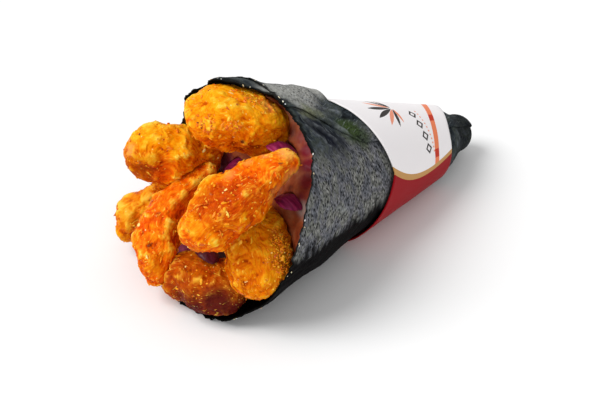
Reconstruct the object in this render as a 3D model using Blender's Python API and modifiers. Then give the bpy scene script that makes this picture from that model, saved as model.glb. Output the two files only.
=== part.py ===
# Breaded shrimp temaki, lying on its side: a cone of rolled nori in a printed paper sleeve,
# stuffed with sauced filling and red onion, with fried shrimps standing out of its mouth.
#
# Metres, +Z up, +X from the open mouth towards the tip. The origin is on the floor under the
# middle of the whole. Shapes are worked out in millimetres in the cone's own frame, whose
# origin is the apex that the straight sides point to, on the floor just past the tip. A place
# on the cone is given by its distance along the axis from the apex, its angle round the axis
# in degrees (0 far side, 90 top, 180 near side, 270 underside), and its distance out.

import math

import bpy
import bmesh
from mathutils import Vector, noise

MM = 0.001
GAP = 0.3                    # left between pieces that touch
APEX = Vector((103.82, -2.31, 0.0))

# The cone
HALF_ANGLE = 13.0
AXIS_SLOPE = 12.6            # under the half angle, so that the underside is pressed flat
FLARE = math.tan(math.radians(HALF_ANGLE))
AXIS = Vector((-math.cos(math.radians(AXIS_SLOPE)), 0.0, math.sin(math.radians(AXIS_SLOPE))))
RAISE = Vector((math.sin(math.radians(AXIS_SLOPE)), 0.0, math.cos(math.radians(AXIS_SLOPE))))
ACROSS = Vector((0.0, 1.0, 0.0))

# Paper sleeve
PAPER_THICK = 0.4
PAPER_OUT = 0.45             # its outer face from the cone's straight side
PAPER_FROM, PAPER_TO = -50.0, 330.0
PAPER_LIFT = 0.75            # the lapped end rides up by this, over the first end
PAPER_LIFT_OVER = (230.0, 310.0)
WIDE_END, WIDE_SLANT = 95.4, 0.122           # the wide end is lowest at a corner, and slants away
WIDE_CORNER, WIDE_REACH = 160.0, 72.0        # from it over this many degrees each way
NARROW_END, NARROW_STEP = 52.0, 6.5          # the narrow end lies further up on the near side
SLEEVE_GRID = (42, 6)

# Nori
NORI_THICK = 0.45
NORI_OUT = PAPER_OUT - PAPER_THICK - GAP
NORI_LAP = 0.8               # from the inner turn's face to the outer turn's
NORI_FROM, NORI_TO = 40.0, 489.0
DIP = (135.0, 350.0)         # where the first turn eases out from under the outer turn
FREE_EDGE = (458.0, 130.0, 489.0, 104.0)      # the outer end runs aslant: angle, along; angle, along
TIP_ROUND, TIP_LENGTH, TIP_SLIM = 42.0, 7.4, 2.4
SLIM_OVER = (44.0, 54.0)
TIP_HOLE = 12.0              # the tip's round end stops here, in degrees from its pole
RIM = ((0, 138), (20, 136), (45, 142), (67, 145), (93, 132), (112, 132), (137, 135), (152, 140),
       (166, 146), (192, 151), (230, 154), (262, 159), (290, 161), (308, 155), (325, 142), (340, 138))
MOUTH_FLARE = 1.1            # the open end widens by this
MOUTH_FLARE_OVER = (106.0, 130.0)
PUFF_ANGLE, PUFF_FAR, PUFF = 63.0, 50.0, 4.4       # the top stands out over the upper shrimp
PUFF_OVER = (104.0, 136.0)
PUFF_NEAR = (19.0, 54.0)     # how far it spreads to the near side, at the sleeve and at the rim
FLAP_PUFF = 4.6              # the outer turn's corner stands up just in front of the sleeve
FLAP_RISE, FLAP_FALL = (0.3, 1.3), (112.0, 136.0)
STEP = 2.0                   # the row of faces where it stands up
BED_OVER = (0.5, 6.0)        # in front of the sleeve the nori comes down to the floor
NORI_COLUMNS = 45
TIP_ROWS, SLEEVE_ROWS, OPEN_ROWS = 3, 5, 6    # with one more row between the last two

# Filling
FILL_FROM, FILL_MIDDLE, FILL_BELOW_RIM = 41.0, 137.0, 6.0
LUMP_SIZE, LUMP_HEIGHT = 7.0, 1.6             # of the filling's uneven front
FILL_SEGMENTS, FILL_RINGS = 30, 14
FILL_WALL_SHARE = 0.42       # share of its rings that lie along the nori
WALL_CLEAR = NORI_THICK + GAP + 0.2
BULGE, BULGE_FROM = 0.6, 1.0                  # past the rim the food may spread out this steeply

# Shrimps, from the top of the pile down: tail end, middle and head end of each (along, angle,
# out), then half thickness, how much the tail and the head are drawn in, and the share of the
# half thickness at which the upper side levels off
SHRIMPS = {
    "shrimp_front": ((139, 128, 29), (156, 139, 16.5), (174, 193, 13), 11.4, 0.55, 0.05, 0.62),
    "shrimp_top": ((121, 79, 15), (141, 72, 25), (154, 50, 28.5), 11.8, 0.30, 0.05, 0.85),
    "shrimp_curled": ((144, 17, 14), (162, 318, 19), (167, 278, 29), 8.4, 0.50, 0.10, 0.85),
    "shrimp_right": ((143, 209, 4), (150, 205, 20), (154, 217, 33.5), 12.0, 0.20, 0.10, 0.70),
    "shrimp_left": ((134, 5, 22), (154, 9, 27), (166, 9, 33), 12.2, 0.25, 0.45, 1.10),
    "shrimp_low_left": ((132, 342, 20), (150, 328, 36), (160, 318, 47), 8.8, 0.25, 0.10, 1.10),
    "shrimp_bottom": ((154, 231, 32), (159, 257, 25), (163, 292, 29), 9.8, 0.10, 0.25, 0.80),
}
SEGMENTS, RINGS = 18, 22
CRAGS = ((7.0, 1.9), (3.4, 0.8))             # size and height of the crust's lumps
SEED_STEP = 3.7              # each shrimp's lumps are its own
SOFTNESS = 0.8               # how roundly food gives where the nori presses it

# Red onion: middle of each piece (along, angle, out), its lie (yaw, pitch, roll in degrees),
# length, width, how far it bows along and across
ONIONS = {
    "onion_top": ((133, 102, 19), (35, -35, 20), 20.0, 12.0, 4.0, 1.5),
    "onion_middle": ((137, 20, 12), (-30, -40, 0), 22.0, 13.0, 4.0, 1.5),
    "onion_side": ((137, 158, 18), (60, -30, 10), 14.0, 11.0, 3.0, 2.0),
    "onion_low": ((157, 258, 15), (20, -20, 15), 12.0, 8.0, 3.0, 1.0),
    "onion_left": ((151, 304, 28), (0, 40, -70), 19.0, 13.0, 3.0, 1.5),
}
ONION_THICK = 2.4
ONION_SEGMENTS, ONION_RINGS = 16, 8


def smooth(start, end, value):
    t = min(max((value - start) / (end - start), 0.0), 1.0)
    return t * t * (3.0 - 2.0 * t)


def mix(a, b, t):
    return a + (b - a) * t


def cone_point(along, angle, out):
    turn = math.radians(angle)
    return AXIS * along + (ACROSS * math.cos(turn) + RAISE * math.sin(turn)) * out


def cone_place(point):
    along = point.dot(AXIS)
    side, up = point.dot(ACROSS), point.dot(RAISE)
    return along, math.degrees(math.atan2(up, side)) % 360.0, math.hypot(side, up)


def rim(angle):
    """How far along the axis the nori's rim lies, eased between its named places."""
    angle = angle % 360.0
    places = RIM + ((RIM[0][0] + 360, RIM[0][1]),)
    for (a, along_a), (b, along_b) in zip(places, places[1:]):
        if a <= angle <= b:
            return mix(along_a, along_b, smooth(a, b, angle))
    return places[0][1]


def wide_end(angle):
    """How far along the axis the sleeve's wide end lies."""
    away = abs(angle % 360.0 - WIDE_CORNER)
    return WIDE_END + WIDE_SLANT * min(away, 360.0 - away, WIDE_REACH)


def narrow_end(angle):
    return NARROW_END + NARROW_STEP * smooth(70, 150, angle) * (1 - smooth(260, 330, angle))


def puff_shape(along, angle):
    """1 where the top stands out most, 0 beyond the puff's sides."""
    away = (angle - PUFF_ANGLE + 180.0) % 360.0 - 180.0
    width = PUFF_FAR if away < 0 else mix(*PUFF_NEAR, smooth(*PUFF_OVER, along))
    return math.cos(math.radians(90.0 * min(abs(away) / width, 1.0))) ** 2


def lean(angle):
    return mix(NORI_OUT - NORI_LAP, NORI_OUT, smooth(*DIP, angle))


def wall(along, angle):
    """The nori's outer face on its first turn."""
    slim = TIP_SLIM * (1.0 - smooth(*SLIM_OVER, along))
    opening = MOUTH_FLARE * smooth(*MOUTH_FLARE_OVER, along)
    stuffed = PUFF * smooth(*PUFF_OVER, along) * puff_shape(along, angle)
    return along * FLARE + lean(angle) - slim + opening + stuffed


def flap_lift(along, angle):
    """How far the outer turn's corner stands off the turn below it."""
    rise = smooth(*FLAP_RISE, along - wide_end(angle)) * (1.0 - smooth(*FLAP_FALL, along))
    return FLAP_PUFF * rise * puff_shape(along, angle)


def lay_on_floor(point, floor):
    point.z = max(point.z, floor)
    return point


def nori_floor(along, angle):
    """The nori lies on the sleeve's underside, and on the floor in front of it."""
    return (PAPER_THICK + GAP) * (1.0 - smooth(*BED_OVER, along - wide_end(angle)))


def soft_limit(value, limit):
    """The value, held under the limit with a rounded bend."""
    return limit - SOFTNESS * math.log1p(math.exp((limit - value) / SOFTNESS))


def material(name, colour, roughness):
    mat = bpy.data.materials.new(name)
    mat.use_nodes = True
    shader = mat.node_tree.nodes["Principled BSDF"]
    shader.inputs["Base Color"].default_value = (*colour, 1.0)
    shader.inputs["Roughness"].default_value = roughness
    shader.inputs["Metallic"].default_value = 0.0
    return mat


def finish(obj, name, mat, folder):
    """Name a new object, move it to its collection and stand it in the cone's frame."""
    for owner in list(obj.users_collection):
        owner.objects.unlink(obj)
    folder.objects.link(obj)
    obj.name = name
    obj.data.name = name
    obj.data.materials.clear()
    obj.data.materials.append(mat)
    obj.parent = bpy.data.objects["temaki"]
    return obj


def sheet(columns, rows, shape, thickness):
    """A grid bent by shape(u, v), given its thickness on the inner side."""
    bpy.ops.mesh.primitive_grid_add(x_subdivisions=columns, y_subdivisions=rows, size=2.0)
    obj = bpy.context.object
    for vertex in obj.data.vertices:
        vertex.co = shape((vertex.co.x + 1) / 2, (vertex.co.y + 1) / 2) * MM
    wall_modifier = obj.modifiers.new("thickness", "SOLIDIFY")
    wall_modifier.thickness = thickness * MM
    wall_modifier.offset = 1.0
    return obj


def tip_point(turn, share):
    """The tip is rounded like an egg."""
    pole = math.radians(mix(TIP_HOLE, 90.0, share))
    end = TIP_ROUND * FLARE - TIP_SLIM
    normal = Vector((-math.cos(pole) / TIP_LENGTH, math.sin(pole) / end)).normalized()
    lift = NORI_OUT if turn > 360 else lean(turn)
    along = TIP_ROUND - TIP_LENGTH * math.cos(pole) + normal.x * lift
    return cone_point(along, turn, end * math.sin(pole) + normal.y * lift)


def nori_along(turn, row):
    """How far along the axis a row of the sheet lies, counted from the tip's round end."""
    edge = wide_end(turn)
    if row < SLEEVE_ROWS:
        return mix(TIP_ROUND, edge, row / SLEEVE_ROWS)
    if row < SLEEVE_ROWS + 1:
        return edge + STEP * (row - SLEEVE_ROWS)
    return mix(edge + STEP, rim(turn), (row - SLEEVE_ROWS - 1) / OPEN_ROWS)


def nori_shape(u, v):
    """u winds round the cone from the inner end, v runs from the tip to the rim."""
    turn = mix(NORI_FROM, NORI_TO, u)
    row = v * (TIP_ROWS + SLEEVE_ROWS + 1 + OPEN_ROWS) - TIP_ROWS
    if row < 0.0:
        return tip_point(turn, 1.0 + row / TIP_ROWS)
    along = nori_along(turn, row)
    rim_end, rim_along, sleeve_turn, sleeve_along = FREE_EDGE
    last = mix(rim_end, sleeve_turn, smooth(rim_along, sleeve_along, along))
    turn = mix(NORI_FROM, last, u)
    out = wall(along, min(turn, 360.0))
    if turn > 360:
        out = wall(along, turn - 360) + NORI_LAP + flap_lift(along, turn - 360)
    return lay_on_floor(cone_point(along, turn, out), nori_floor(along, turn))


def sleeve_shape(u, v):
    turn = mix(PAPER_FROM, PAPER_TO, u)
    along = mix(narrow_end(turn), wide_end(turn), v)
    out = along * FLARE + PAPER_OUT + PAPER_LIFT * smooth(*PAPER_LIFT_OVER, turn)
    return lay_on_floor(cone_point(along, turn, out), 0.0)


def keep_inside(point):
    """Food inside the cone stays clear of the nori, and lies on it or on the floor."""
    along, angle, out = cone_place(point)
    past_rim = along - rim(angle) - BULGE_FROM
    limit = wall(along, angle) - WALL_CLEAR + BULGE * max(past_rim, 0.0)
    point = cone_point(along, angle, max(soft_limit(out, limit), 0.0))
    bed = nori_floor(along, angle) + NORI_THICK + GAP
    return lay_on_floor(point, mix(bed, GAP, smooth(1.0, 4.0, past_rim)))


def crags(point, seed):
    height = 0.0
    for size, amount in CRAGS:
        height += amount * noise.noise(point / size + Vector((seed, 0.0, -seed)))
    return height


def shrimp(tail, middle, head, girth, tail_in, head_in, flat, seed):
    """A sphere stretched along a bowed spine, thinner at its ends, flatter on top, with a lumpy crust."""
    bpy.ops.mesh.primitive_uv_sphere_add(segments=SEGMENTS, ring_count=RINGS, radius=1.0)
    obj = bpy.context.object
    start, belly, end = (cone_point(*place) for place in (tail, middle, head))
    bend = belly * 2 - (start + end) / 2
    for vertex in obj.data.vertices:
        x, y, z = vertex.co
        t = (1.0 - z) / 2
        spine = start * (1 - t) ** 2 + bend * 2 * t * (1 - t) + end * t ** 2
        ahead = ((bend - start) * (1 - t) + (end - bend) * t).normalized()
        side = ahead.cross(Vector((0.0, 0.0, 1.0))).normalized()
        up = side.cross(ahead)
        spread = math.hypot(x, y)
        taper = 1.0 - tail_in * (1 - t) ** 2 - head_in * t ** 2
        reach = girth * taper * spread ** 0.7
        outward = (side * x + up * y).normalized() if spread > 1e-6 else ahead * (-1.0 if z > 0 else 1.0)
        point = spine + outward * reach
        point += outward * crags(point, seed)
        upper = (point - spine).dot(up)
        point += up * (soft_limit(upper, flat * girth * taper) - upper)
        vertex.co = keep_inside(point) * MM
    return obj


def onion(place, lie, length, width, bow, cup):
    """One layer of red onion: a thin pad with pointed ends, bowed along and cupped across."""
    bpy.ops.mesh.primitive_uv_sphere_add(segments=ONION_SEGMENTS, ring_count=ONION_RINGS, radius=1.0)
    obj = bpy.context.object
    yaw, pitch, roll = (math.radians(a) for a in lie)
    middle = cone_point(*place)
    ahead = Vector((math.cos(pitch) * math.sin(yaw), math.cos(pitch) * math.cos(yaw), math.sin(pitch)))
    flat = Vector((0.0, 0.0, 1.0)).cross(ahead).normalized()
    face = ahead.cross(flat)
    flat, face = flat * math.cos(roll) + face * math.sin(roll), face * math.cos(roll) - flat * math.sin(roll)
    for vertex in obj.data.vertices:
        x, y, z = vertex.co
        sag = bow * x * x + cup * y * y
        point = middle + ahead * (x * length / 2) + flat * (y * width / 2)
        point += face * (z * ONION_THICK / 2 - sag)
        vertex.co = keep_inside(point) * MM
    return obj


def filling():
    """The stuffing: the cone's inside up to just below the rim, with a bumpy front."""
    bpy.ops.mesh.primitive_uv_sphere_add(segments=FILL_SEGMENTS, ring_count=FILL_RINGS, radius=1.0)
    obj = bpy.context.object
    for vertex in obj.data.vertices:
        x, y, z = vertex.co
        angle = math.degrees(math.atan2(y, x)) % 360.0
        t = math.acos(max(-1.0, min(1.0, z))) / math.pi
        edge = rim(angle) - FILL_BELOW_RIM
        if t < FILL_WALL_SHARE:
            share = t / FILL_WALL_SHARE
            along = mix(FILL_FROM, edge, share)
            out = (wall(along, angle) - WALL_CLEAR - NORI_LAP) * smooth(0.0, 0.3, share)
        else:
            share = (t - FILL_WALL_SHARE) / (1.0 - FILL_WALL_SHARE)
            reach = 1.0 - share
            along = mix(FILL_MIDDLE, edge, reach ** 2)
            out = (wall(along, angle) - WALL_CLEAR - NORI_LAP) * reach
        point = cone_point(along, angle, out)
        if t > FILL_WALL_SHARE:
            point += AXIS * noise.noise(point / LUMP_SIZE) * LUMP_HEIGHT
        vertex.co = keep_inside(point) * MM
    return obj


def evaluated(obj):
    graph = bpy.context.evaluated_depsgraph_get()
    return bpy.data.meshes.new_from_object(obj.evaluated_get(graph))


def clearance_copy(obj, folder):
    """The piece swelled by the gap, to cut its neighbours with."""
    cutter = bpy.data.objects.new(obj.name + "_clearance", obj.data.copy())
    folder.objects.link(cutter)
    cutter.parent = obj.parent
    cutter.hide_render = True
    cutter.display_type = "WIRE"
    swell = cutter.modifiers.new("swell", "DISPLACE")
    swell.strength = (GAP + 0.05) * MM
    swell.mid_level = 0.0
    return cutter


def drop_scraps(mesh):
    """Keep only the largest body that a cut leaves."""
    shape = bmesh.new()
    shape.from_mesh(mesh)
    seen = set()
    bodies = []
    for start in shape.verts:
        if start in seen:
            continue
        seen.add(start)
        body = [start]
        for vertex in body:
            joined = (edge.other_vert(vertex) for edge in vertex.link_edges)
            for other in joined:
                if other not in seen:
                    seen.add(other)
                    body.append(other)
        bodies.append(body)
    bodies.sort(key=len)
    scraps = [vertex for body in bodies[:-1] for vertex in body]
    bmesh.ops.delete(shape, geom=scraps, context="VERTS")
    bmesh.ops.triangulate(shape, faces=shape.faces)
    shape.to_mesh(mesh)
    shape.free()


def carve(obj, cutters, solver="EXACT"):
    """Cut the swelled neighbours out of a piece."""
    for cutter in cutters:
        cut = obj.modifiers.new("clear_" + cutter.name, "BOOLEAN")
        cut.operation = "DIFFERENCE"
        cut.solver = solver
        cut.object = cutter
    mesh = evaluated(obj)
    obj.modifiers.clear()
    obj.data = mesh
    drop_scraps(mesh)


def build():
    for obj in list(bpy.data.objects):
        bpy.data.objects.remove(obj, do_unlink=True)
    parts = bpy.data.collections.new("breaded_shrimp_temaki")
    helpers = bpy.data.collections.new("clearances")
    bpy.context.scene.collection.children.link(parts)
    bpy.context.scene.collection.children.link(helpers)
    root = bpy.data.objects.new("temaki", None)
    root.location = APEX * MM
    parts.objects.link(root)

    nori = material("nori", (0.030, 0.040, 0.034), 0.45)
    paper = material("printed_paper", (0.82, 0.80, 0.78), 0.55)
    crust = material("fried_crust", (0.85, 0.28, 0.02), 0.40)
    purple = material("red_onion", (0.20, 0.02, 0.08), 0.30)
    sauce = material("sauced_filling", (0.28, 0.09, 0.05), 0.35)

    nori_rows = TIP_ROWS + SLEEVE_ROWS + 1 + OPEN_ROWS
    finish(sheet(NORI_COLUMNS, nori_rows, nori_shape, NORI_THICK), "nori_cone", nori, parts)
    finish(sheet(*SLEEVE_GRID, sleeve_shape, PAPER_THICK), "paper_sleeve", paper, parts)

    # Each piece is cut clear of those above it in the pile
    above = []
    for seed, (name, settings) in enumerate(SHRIMPS.items()):
        obj = finish(shrimp(*settings, seed * SEED_STEP), name, crust, parts)
        carve(obj, above)
        above.append(clearance_copy(obj, helpers))
    for name, settings in ONIONS.items():
        obj = finish(onion(*settings), name, purple, parts)
        carve(obj, above)
        above.append(clearance_copy(obj, helpers))
    core = finish(filling(), "filling", sauce, parts)
    carve(core, above, "MANIFOLD")

    for obj in list(helpers.objects):
        bpy.data.objects.remove(obj, do_unlink=True)
    bpy.data.collections.remove(helpers)


build()
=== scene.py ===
# Breaded shrimp temaki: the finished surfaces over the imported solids.
# A cone of toasted nori in a printed paper sleeve, stuffed with sauced filling and red onion,
# with fried shrimps standing out of its mouth. Numbers are millimetres and degrees unless a
# note says otherwise, and mm turns them to metres.

import math
from functools import partial

import bpy
import bmesh
import numpy as np
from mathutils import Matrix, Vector, noise


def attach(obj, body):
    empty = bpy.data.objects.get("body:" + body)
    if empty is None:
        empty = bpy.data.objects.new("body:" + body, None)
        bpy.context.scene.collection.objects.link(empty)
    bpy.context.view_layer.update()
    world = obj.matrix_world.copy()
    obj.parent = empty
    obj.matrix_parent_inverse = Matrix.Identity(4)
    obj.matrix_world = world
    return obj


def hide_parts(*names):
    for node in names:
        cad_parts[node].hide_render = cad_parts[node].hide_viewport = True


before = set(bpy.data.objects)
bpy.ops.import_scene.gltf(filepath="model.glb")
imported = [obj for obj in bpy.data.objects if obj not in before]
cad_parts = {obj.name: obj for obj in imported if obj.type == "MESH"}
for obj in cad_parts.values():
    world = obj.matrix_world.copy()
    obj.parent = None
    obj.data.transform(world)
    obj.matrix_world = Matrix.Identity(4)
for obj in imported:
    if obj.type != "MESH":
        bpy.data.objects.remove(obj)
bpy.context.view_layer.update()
mm = 0.001
noise.seed_set(4)  # the same swirls and creases in every run
print("frame loaded:", len(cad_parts), "solids")

# Shared tools

socketKinds = {float: "NodeSocketFloat", int: "NodeSocketInt", type(None): "NodeSocketMaterial"}


def linear(colour):
    parts = [int(colour[i:i + 2], 16) / 255 for i in (1, 3, 5)]
    return tuple(c / 12.92 if c <= 0.04045 else ((c + 0.055) / 1.055) ** 2.4 for c in parts) + (1.0,)


def feed(tree, node, inputs):
    for key, value in inputs.items():
        if isinstance(value, bpy.types.Node):  # a node stands for its first output in use
            value = next(socket for socket in value.outputs if socket.enabled)
        if isinstance(value, bpy.types.NodeSocket):
            tree.links.new(value, node.inputs[key])
        else:
            node.inputs[key].default_value = value


def addNode(tree, kind, *inputs, stops=(), **settings):
    if kind.isupper():  # a maths operation goes by its own name
        kind, settings["operation"] = "ShaderNodeMath", kind
    node = tree.nodes.new(kind)
    for name, value in settings.items():
        setattr(node, name, value)
    feed(tree, node, inputs[0] if inputs and isinstance(inputs[0], dict) else dict(enumerate(inputs)))
    if stops:  # a colour ramp's places and colours
        ramp = node.color_ramp.elements
        ramp.remove(ramp[1])
        ramp[0].position, ramp[0].color = stops[0][0], linear(stops[0][1])
        for place, colour in stops[1:]:
            ramp.new(place).color = linear(colour)
    return node


def newTree(name, inputs):
    tree = bpy.data.node_groups.new(name, "GeometryNodeTree")
    tree.is_modifier = True
    for way in ("OUTPUT", "INPUT"):
        tree.interface.new_socket("Geometry", in_out=way, socket_type="NodeSocketGeometry")
    for label, default in {**inputs, "Material": None}.items():
        socket = tree.interface.new_socket(label, in_out="INPUT", socket_type=socketKinds[type(default)])
        if default is not None:
            socket.default_value = default
    add = partial(addNode, tree)
    return tree, add, add("NodeGroupInput").outputs


def endTree(add, geometry, given):
    whole = add("GeometryNodeRealizeInstances", geometry)
    coated = add("GeometryNodeSetMaterial", {"Geometry": whole, "Material": given["Material"]})
    add("NodeGroupOutput", coated)


def inputsOf(look, unit=1):  # a tree's inputs are the capitalised entries
    return {name: value * unit for name, value in look.items() if name[0].isupper()}


def growWith(obj, tree, values):
    modifier = obj.modifiers.new(tree.name, "NODES")
    modifier.node_group = tree
    for item in tree.interface.items_tree:
        if item.in_out == "INPUT" and item.name in values:
            modifier[item.identifier] = values[item.name]


def newMaterial(name):
    mat = bpy.data.materials.new(name)
    mat.use_nodes = True
    return mat, partial(addNode, mat.node_tree)


def endMaterial(mat, inputs):
    feed(mat.node_tree, mat.node_tree.nodes["Principled BSDF"], inputs)
    return mat


def painted(add, colour, layers):  # tints laid one over another, where each mask says
    for mask, tint in layers:
        colour = add("ShaderNodeMix", {0: mask, 6: colour, 7: linear(tint)}, data_type="RGBA")
    return colour


def stained(add, colour, stains):  # the piece's own zones, each tinted up to its share
    layers = []
    for zone, tint, share in stains:
        mask = add("ShaderNodeAttribute", attribute_name=zone).outputs["Fac"]
        layers.append((add("MULTIPLY", mask, share), tint))
    return painted(add, colour, layers)


def newObject(name, mesh):
    obj = bpy.data.objects.new(name, mesh)
    bpy.context.scene.collection.objects.link(obj)
    return obj


def newSheet(name, where):  # a grid of places, joined by quads
    number = np.arange(where.shape[0] * where.shape[1]).reshape(where.shape[:2])
    corners = number[:-1, :-1], number[:-1, 1:], number[1:, 1:], number[1:, :-1]
    quads = np.stack(corners, -1).reshape(-1, 4)
    mesh = bpy.data.meshes.new(name)
    mesh.from_pydata((where.reshape(-1, 3) * mm).tolist(), [], quads.tolist())
    return newObject(name, mesh), quads


def settle(obj):
    graph = bpy.context.evaluated_depsgraph_get()
    mesh = bpy.data.meshes.new_from_object(obj.evaluated_get(graph))
    obj.modifiers.clear()
    obj.data = mesh
    obj.data.shade_smooth()
    return obj


def points(obj):
    flat = np.empty(len(obj.data.vertices) * 3)
    obj.data.vertices.foreach_get("co", flat)
    return flat.reshape(-1, 3) / mm


def addAttribute(obj, name, values):
    kind, field = ("FLOAT_VECTOR", "vector") if np.ndim(values) == 2 else ("FLOAT", "value")
    layer = obj.data.attributes.new(name, kind, "POINT")
    layer.data.foreach_set(field, np.asarray(values, np.float32).ravel())


def spots(where, places):
    amount = np.zeros(len(where))  # full strength in the middle of a spot, 0 at its edge
    for x, y, z, radius, strength in places:
        near = 1 - np.linalg.norm(where - (x, y, z), axis=1) / radius
        amount = np.maximum(amount, strength * smooth(0, 0.7, near))
    return amount


def ripple(places, layers):
    swings = [height * np.array([noise.noise(Vector(p) / size) for p in places.reshape(-1, 3)])
              for size, height in layers]
    return sum(swings).reshape(places.shape[:-1])


def smooth(start, end, value):
    t = np.clip((value - start) / (end - start), 0.0, 1.0)
    return t * t * (3.0 - 2.0 * t)


def mix(a, b, t):
    return a + (b - a) * t


# The cone, as the solids have it: a place is its distance along the axis from the apex, its
# angle round it (0 far side, 90 top, 180 near side, 270 underside) and its distance out

cone = {
    "apex": (103.82, -2.31, 0.0),
    "halfAngle": 13.0,
    "axisSlope": 12.6,  # under the half angle, so the underside is pressed flat
}
slope, halfAngle = math.radians(cone["axisSlope"]), math.radians(cone["halfAngle"])
flare = math.tan(halfAngle)
apex = np.array(cone["apex"])
axis = np.array((-math.cos(slope), 0.0, math.sin(slope)))
raised = np.array((math.sin(slope), 0.0, math.cos(slope)))
across = np.array((0.0, 1.0, 0.0))


def conePoint(along, angle, out):
    turn = np.radians(angle)[..., None]
    around = np.cos(turn) * across + np.sin(turn) * raised
    return apex + along[..., None] * axis + out[..., None] * around


def conePlace(where):
    local = where - apex
    side, up = local @ across, local @ raised
    return local @ axis, np.degrees(np.arctan2(up, side)) % 360.0, np.hypot(side, up)


# Paper sleeve

sleeve = {
    "Columns": 361, "Rows": 61,
    "Turn From": -50.0, "Turn To": 330.0,
    "Narrow End": 52.0, "Narrow Step": 6.5, "stepOut": (70.0, 150.0), "stepBack": (330.0, 260.0),
    "Wide End": 95.4, "Wide Slant": 0.122, "Wide Corner": 160.0, "Wide Reach": 72.0,
    "Face Out": 0.45, "Lap Lift": 0.75, "lapOver": (230.0, 310.0),
    "Wave Turn": 30.0, "Wave Size": 17.0, "Wave Height": 0.22,
    "thickness": 0.4,
    "mapSize": (360.0, 100.0),  # degrees round and millimetres along, to one unit of its UV map
    "print": {
        "white": "#f7f3f4", "gold": "#c8985c", "red": "#980a16", "stripe": "#f0855a", "mark": "#c8361f",
        "dark": "#3b3635", "coral": "#ef9a7c",
        "fieldMiddle": 80.0, "fieldHalf": 92.0, "fieldBend": 0.0404, "fieldAlong": 75.0, "goldWidth": 6.0,
        "stripeEnd": 67.0, "stripeDrop": 11.2, "stripeFrom": 158.0, "stripeSpan": 87.0,
        "stripeCurve": 1.5, "stripeWidth": 2.7, "marks": (112.0, 158.0), "markHalf": 5.0,
        # Leaves: tilt, half length, half width; lozenges: step, half width, offset
        "fanTurn": 94.0, "fanAlong": 80.5, "leafOut": 1.15,
        "leaves": ((-66, 3.4, 0.6, "dark"), (-44, 4.4, 0.75, "dark"), (-22, 5.2, 0.8, "coral"),
                   (0, 5.8, 0.85, "dark"), (22, 5.8, 0.85, "dark"), (44, 5.2, 0.8, "coral"),
                   (66, 4.4, 0.7, "dark"), (86, 3.4, 0.6, "coral")),
        "rowTurn": 98.0, "rowAlong": 72.6, "rowLength": 17.2,
        "lozenges": ((4.3, 1.85, 0.4, "dark"), (4.3, 0.95, 0.4, "white"), (1.43, 0.45, -2.6, "coral")),
        "grain": 0.6, "bump": {"Strength": 0.25, "Distance": 0.05 * mm},
        "shader": {"Roughness": 0.5, "Specular IOR Level": 0.08},
    },
}


def wideEnd(angle):
    away = np.abs(angle % 360.0 - sleeve["Wide Corner"])
    away = np.minimum(np.minimum(away, 360.0 - away), sleeve["Wide Reach"])
    return sleeve["Wide End"] + sleeve["Wide Slant"] * away


def sleeveTree():
    tree, add, given = newTree("paper_sleeve", inputsOf(sleeve))
    grid = add("GeometryNodeMeshGrid", {"Size X": 1.0, "Size Y": 1.0, "Vertices X": given["Columns"],
                                        "Vertices Y": given["Rows"]})
    spread = add("ShaderNodeSeparateXYZ", add("GeometryNodeInputPosition")).outputs
    u, v = add("ADD", spread[0], 0.5), add("ADD", spread[1], 0.5)
    span = add("SUBTRACT", given["Turn To"], given["Turn From"])
    turn = add("MULTIPLY_ADD", u, span, given["Turn From"])
    out, back, lap = (add("ShaderNodeMapRange", turn, *sleeve[ease], interpolation_type="SMOOTHSTEP")
                      for ease in ("stepOut", "stepBack", "lapOver"))
    narrow = add("MULTIPLY_ADD", add("MULTIPLY", out, back), given["Narrow Step"], given["Narrow End"])
    away = add("ABSOLUTE", add("SUBTRACT", add("FLOORED_MODULO", turn, 360.0), given["Wide Corner"]))
    away = add("MINIMUM", add("MINIMUM", away, add("SUBTRACT", 360.0, away)), given["Wide Reach"])
    wide = add("MULTIPLY_ADD", away, given["Wide Slant"], given["Wide End"])
    along = add("MULTIPLY_ADD", v, add("SUBTRACT", wide, narrow), narrow)
    lift = add("MULTIPLY_ADD", lap, given["Lap Lift"], given["Face Out"])
    place = add("ShaderNodeCombineXYZ", add("DIVIDE", turn, given["Wave Turn"]),
                add("DIVIDE", along, given["Wave Size"]))
    wave = add("ShaderNodeTexNoise", {"Vector": place, "Scale": 1.0, "Detail": 1.0})
    out = add("MULTIPLY_ADD", along, flare, add("MULTIPLY_ADD", wave, given["Wave Height"], lift))
    radians = add("RADIANS", turn)
    where = tuple(apex * mm)
    for distance, direction in ((along, axis), (add("MULTIPLY", out, add("COSINE", radians)), across),
                                (add("MULTIPLY", out, add("SINE", radians)), raised)):
        step = {0: tuple(direction * mm), "Scale": distance}
        step = add("ShaderNodeVectorMath", step, operation="SCALE")
        where = add("ShaderNodeVectorMath", step, where, operation="ADD")
    x, y, z = add("ShaderNodeSeparateXYZ", where).outputs
    laid = add("ShaderNodeCombineXYZ", x, y, add("MAXIMUM", z, 0.0))  # nothing under the floor
    degrees, length = sleeve["mapSize"]
    layout = add("ShaderNodeCombineXYZ", add("DIVIDE", turn, degrees), add("DIVIDE", along, length))
    marked = add("GeometryNodeStoreNamedAttribute", {"Geometry": grid, "Name": "turns", "Value": layout},
                 data_type="FLOAT2", domain="CORNER")
    endTree(add, add("GeometryNodeSetPosition", {"Geometry": marked, "Position": laid}), given)
    return tree


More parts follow.
